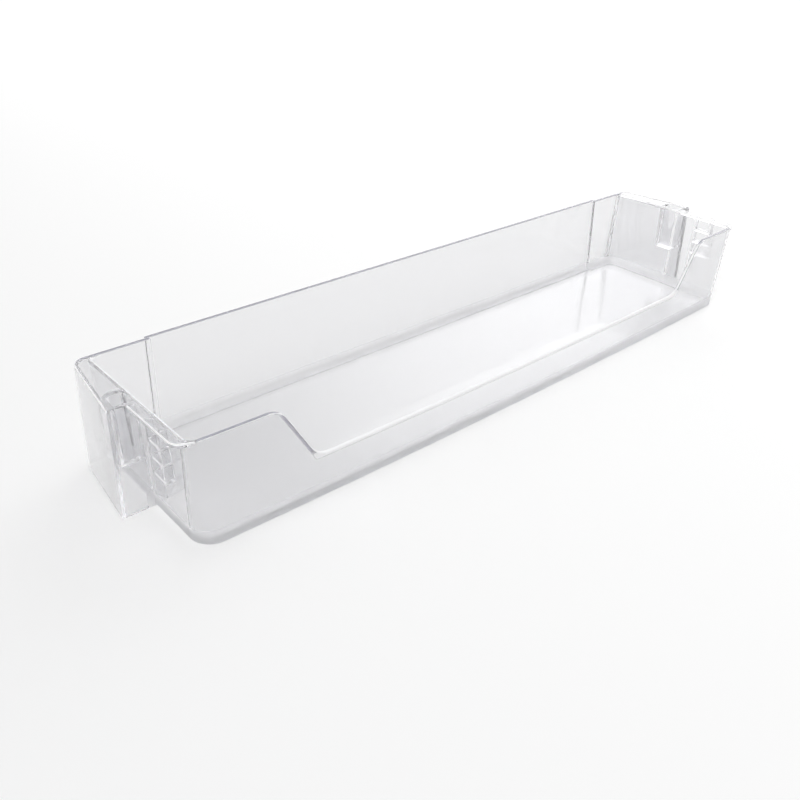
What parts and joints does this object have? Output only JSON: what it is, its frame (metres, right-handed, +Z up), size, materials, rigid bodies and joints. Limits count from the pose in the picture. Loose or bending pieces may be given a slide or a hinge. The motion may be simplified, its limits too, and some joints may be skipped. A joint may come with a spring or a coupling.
{
  "type": "fridge door shelf",
  "caption": "Clear moulded open-topped shelf for the inside of a refrigerator door, with a lowered front edge and hollow hanger blocks at the ends.",
  "frame": {"origin": "middle of the footprint at the underside of the floor, half-way along the shelf and half-way between its back face and its front face", "axes": "+X along the shelf, +Y towards the refrigerator door, +Z up"},
  "size_m": [0.5, 0.114, 0.064],
  "materials": {
    "clear_plastic": "clear, polished, with a faint cool tint"
  },
  "bodies": {
    "root": {"door_shelf": "clear_plastic"}
  },
  "joints": []
}
